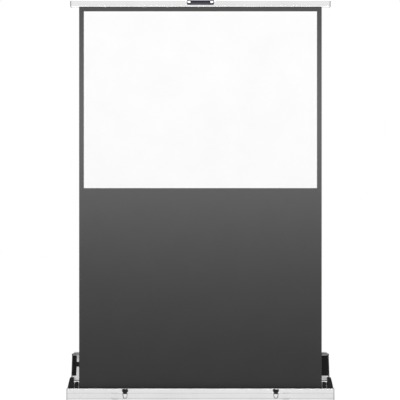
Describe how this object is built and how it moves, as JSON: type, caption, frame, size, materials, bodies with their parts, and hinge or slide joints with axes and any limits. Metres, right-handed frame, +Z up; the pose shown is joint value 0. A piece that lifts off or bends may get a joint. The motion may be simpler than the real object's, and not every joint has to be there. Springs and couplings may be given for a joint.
{
  "type": "portable projection screen",
  "caption": "Floor-standing pull-up projection screen: matte surface on a spring roller in a lidded case, folding arms, top bar with handle, toggle latches, swivel feet.",
  "frame": {"origin": "on the floor under the middle of the case", "axes": "+X to the right of a viewer in front, +Y to the back, +Z up; the screen faces -Y"},
  "size_m": [1.3988, 0.4, 2.1152],
  "materials": {
    "aluminium": "satin anodised, fine lines along the extrusion",
    "end_metal": "satin cast end plate",
    "arm_metal": "satin anodised tube",
    "steel": "zinc plated",
    "bright_steel": "bright nickel",
    "strap_metal": "satin strip",
    "black_plastic": "fine moulded texture",
    "dark_trim": "moulded trim",
    "grey_plastic": "moulded end cap",
    "foot_paint": "powder coat",
    "pad_rubber": "moulded rubber",
    "black_backing": "black coated fabric with a faint weave",
    "white_surface": "matte white projection coating",
    "lining_felt": "thin black felt"
  },
  "bodies": {
    "case": {"case_trough": "aluminium", "case_end_plate_left": "end_metal", "case_end_plate_right": "end_metal", "end_plate_screws": "steel", "hinge_block_left": "black_plastic", "hinge_block_right": "black_plastic", "lid_hinge_pins": "steel", "roller_carriers": "black_plastic", "roller_spring_shaft": "steel", "arm_base_brackets": "steel", "arm_base_pins": "steel", "latch_plates": "steel", "latch_pins": "steel", "foot_bolts": "steel", "foot_washers": "steel", "screen_backing": "black_backing", "viewing_surface": "white_surface"},
    "roller": {"roller_tube": "steel", "roller_plugs": "black_plastic", "roller_spring": "steel", "wound_fabric": "black_backing"},
    "left_lower_arm": {"left_lower_arm_tube": "arm_metal", "left_lower_arm_knuckles": "black_plastic", "left_elbow_pin": "steel", "left_elbow_washer": "black_plastic"},
    "left_upper_arm": {"left_upper_arm_tube": "arm_metal", "left_upper_arm_knuckles": "black_plastic"},
    "right_lower_arm": {"right_lower_arm_tube": "arm_metal", "right_lower_arm_knuckles": "black_plastic", "right_elbow_pin": "steel", "right_elbow_washer": "black_plastic"},
    "right_upper_arm": {"right_upper_arm_tube": "arm_metal", "right_upper_arm_knuckles": "black_plastic"},
    "top_bar": {"top_bar_profile": "aluminium", "top_bar_end_cap_left": "grey_plastic", "top_bar_end_cap_right": "grey_plastic", "fabric_batten": "grey_plastic", "top_brackets": "steel", "top_pivot_pins": "steel", "top_bracket_screws": "steel", "handle_mounts": "end_metal"},
    "handle": {"handle_grip": "black_plastic", "handle_eyelets": "bright_steel"},
    "lid": {"lid_profile": "aluminium", "lid_end_cap_left": "dark_trim", "lid_end_cap_right": "dark_trim", "lid_lining": "lining_felt", "lid_strap": "strap_metal", "lid_bumper": "black_plastic", "latch_keepers": "steel"},
    "latch_lever_left": {"latch_lever_left": "black_plastic"},
    "latch_lever_right": {"latch_lever_right": "black_plastic"},
    "latch_loop_left": {"latch_loop_left": "bright_steel"},
    "latch_loop_right": {"latch_loop_right": "bright_steel"},
    "foot_left": {"foot_left": "foot_paint", "foot_pads_left": "pad_rubber"},
    "foot_right": {"foot_right": "foot_paint", "foot_pads_right": "pad_rubber"}
  },
  "joints": [
    {"name": "screen_lift", "type": "hinge", "parent": "case", "child": "left_lower_arm", "pos_m": [-0.6, 0.02, 0.036], "axis": [0, 1, 0], "range_deg": [0, 61.6], "deforming": ["screen_backing", "viewing_surface"]},
    {"name": "left_elbow", "type": "hinge", "parent": "left_lower_arm", "child": "left_upper_arm", "pos_m": [-0.07296, 0.014, 1.05812], "axis": [0, 1, 0], "range_deg": [-123.4, 0.2]},
    {"name": "left_top_pivot", "type": "hinge", "parent": "left_upper_arm", "child": "top_bar", "pos_m": [-0.6, 0.008, 2.08024], "axis": [0, 1, 0], "range_deg": [-0.2, 61.8]},
    {"name": "right_arm", "type": "hinge", "parent": "case", "child": "right_lower_arm", "pos_m": [0.6, 0.045, 0.036], "axis": [0, 1, 0], "range_deg": [-61.8, 0.2]},
    {"name": "right_elbow", "type": "hinge", "parent": "right_lower_arm", "child": "right_upper_arm", "pos_m": [0.07296, 0.039, 1.05812], "axis": [0, 1, 0], "range_deg": [-0.2, 123.4]},
    {"name": "roller_spin", "type": "hinge", "parent": "case", "child": "roller", "pos_m": [0, -0.041, 0.05], "axis": [1, 0, 0], "range_deg": [-5200, 20]},
    {"name": "lid_hinge", "type": "hinge", "parent": "case", "child": "lid", "pos_m": [0, 0.058, 0.1232], "axis": [1, 0, 0], "range_deg": [-8, 7]},
    {"name": "handle_swing", "type": "hinge", "parent": "top_bar", "child": "handle", "pos_m": [0, -0.0521, 2.10704], "axis": [-1, 0, 0], "range_deg": [0, 100]},
    {"name": "latch_lever_left", "type": "hinge", "parent": "case", "child": "latch_lever_left", "pos_m": [-0.392, -0.0776, 0.0666], "axis": [1, 0, 0], "range_deg": [0, 110]},
    {"name": "latch_lever_right", "type": "hinge", "parent": "case", "child": "latch_lever_right", "pos_m": [0.392, -0.0776, 0.0666], "axis": [1, 0, 0], "range_deg": [0, 110]},
    {"name": "latch_loop_left", "type": "hinge", "parent": "latch_lever_left", "child": "latch_loop_left", "pos_m": [-0.392, -0.0802, 0.0644], "axis": [1, 0, 0], "range_deg": [-110, 0]},
    {"name": "latch_loop_right", "type": "hinge", "parent": "latch_lever_right", "child": "latch_loop_right", "pos_m": [0.392, -0.0802, 0.0644], "axis": [1, 0, 0], "range_deg": [-110, 0]},
    {"name": "foot_left_swivel", "type": "hinge", "parent": "case", "child": "foot_left", "pos_m": [-0.45, 0, 0.009], "axis": [0, 0, 1], "range_deg": [0, 90]},
    {"name": "foot_right_swivel", "type": "hinge", "parent": "case", "child": "foot_right", "pos_m": [0.45, 0, 0.009], "axis": [0, 0, -1], "range_deg": [0, 90]}
  ],
  "couplings": [
    {"joint": "left_elbow", "follows": "screen_lift", "ratio": -2},
    {"joint": "left_top_pivot", "follows": "screen_lift", "ratio": 1},
    {"joint": "right_arm", "follows": "screen_lift", "ratio": -1},
    {"joint": "right_elbow", "follows": "screen_lift", "ratio": 2},
    {"joint": "roller_spin", "follows": "screen_lift", "ratio": -82.7},
    {"joint": "latch_loop_left", "follows": "latch_lever_left", "ratio": -1},
    {"joint": "latch_loop_right", "follows": "latch_lever_right", "ratio": -1}
  ]
}
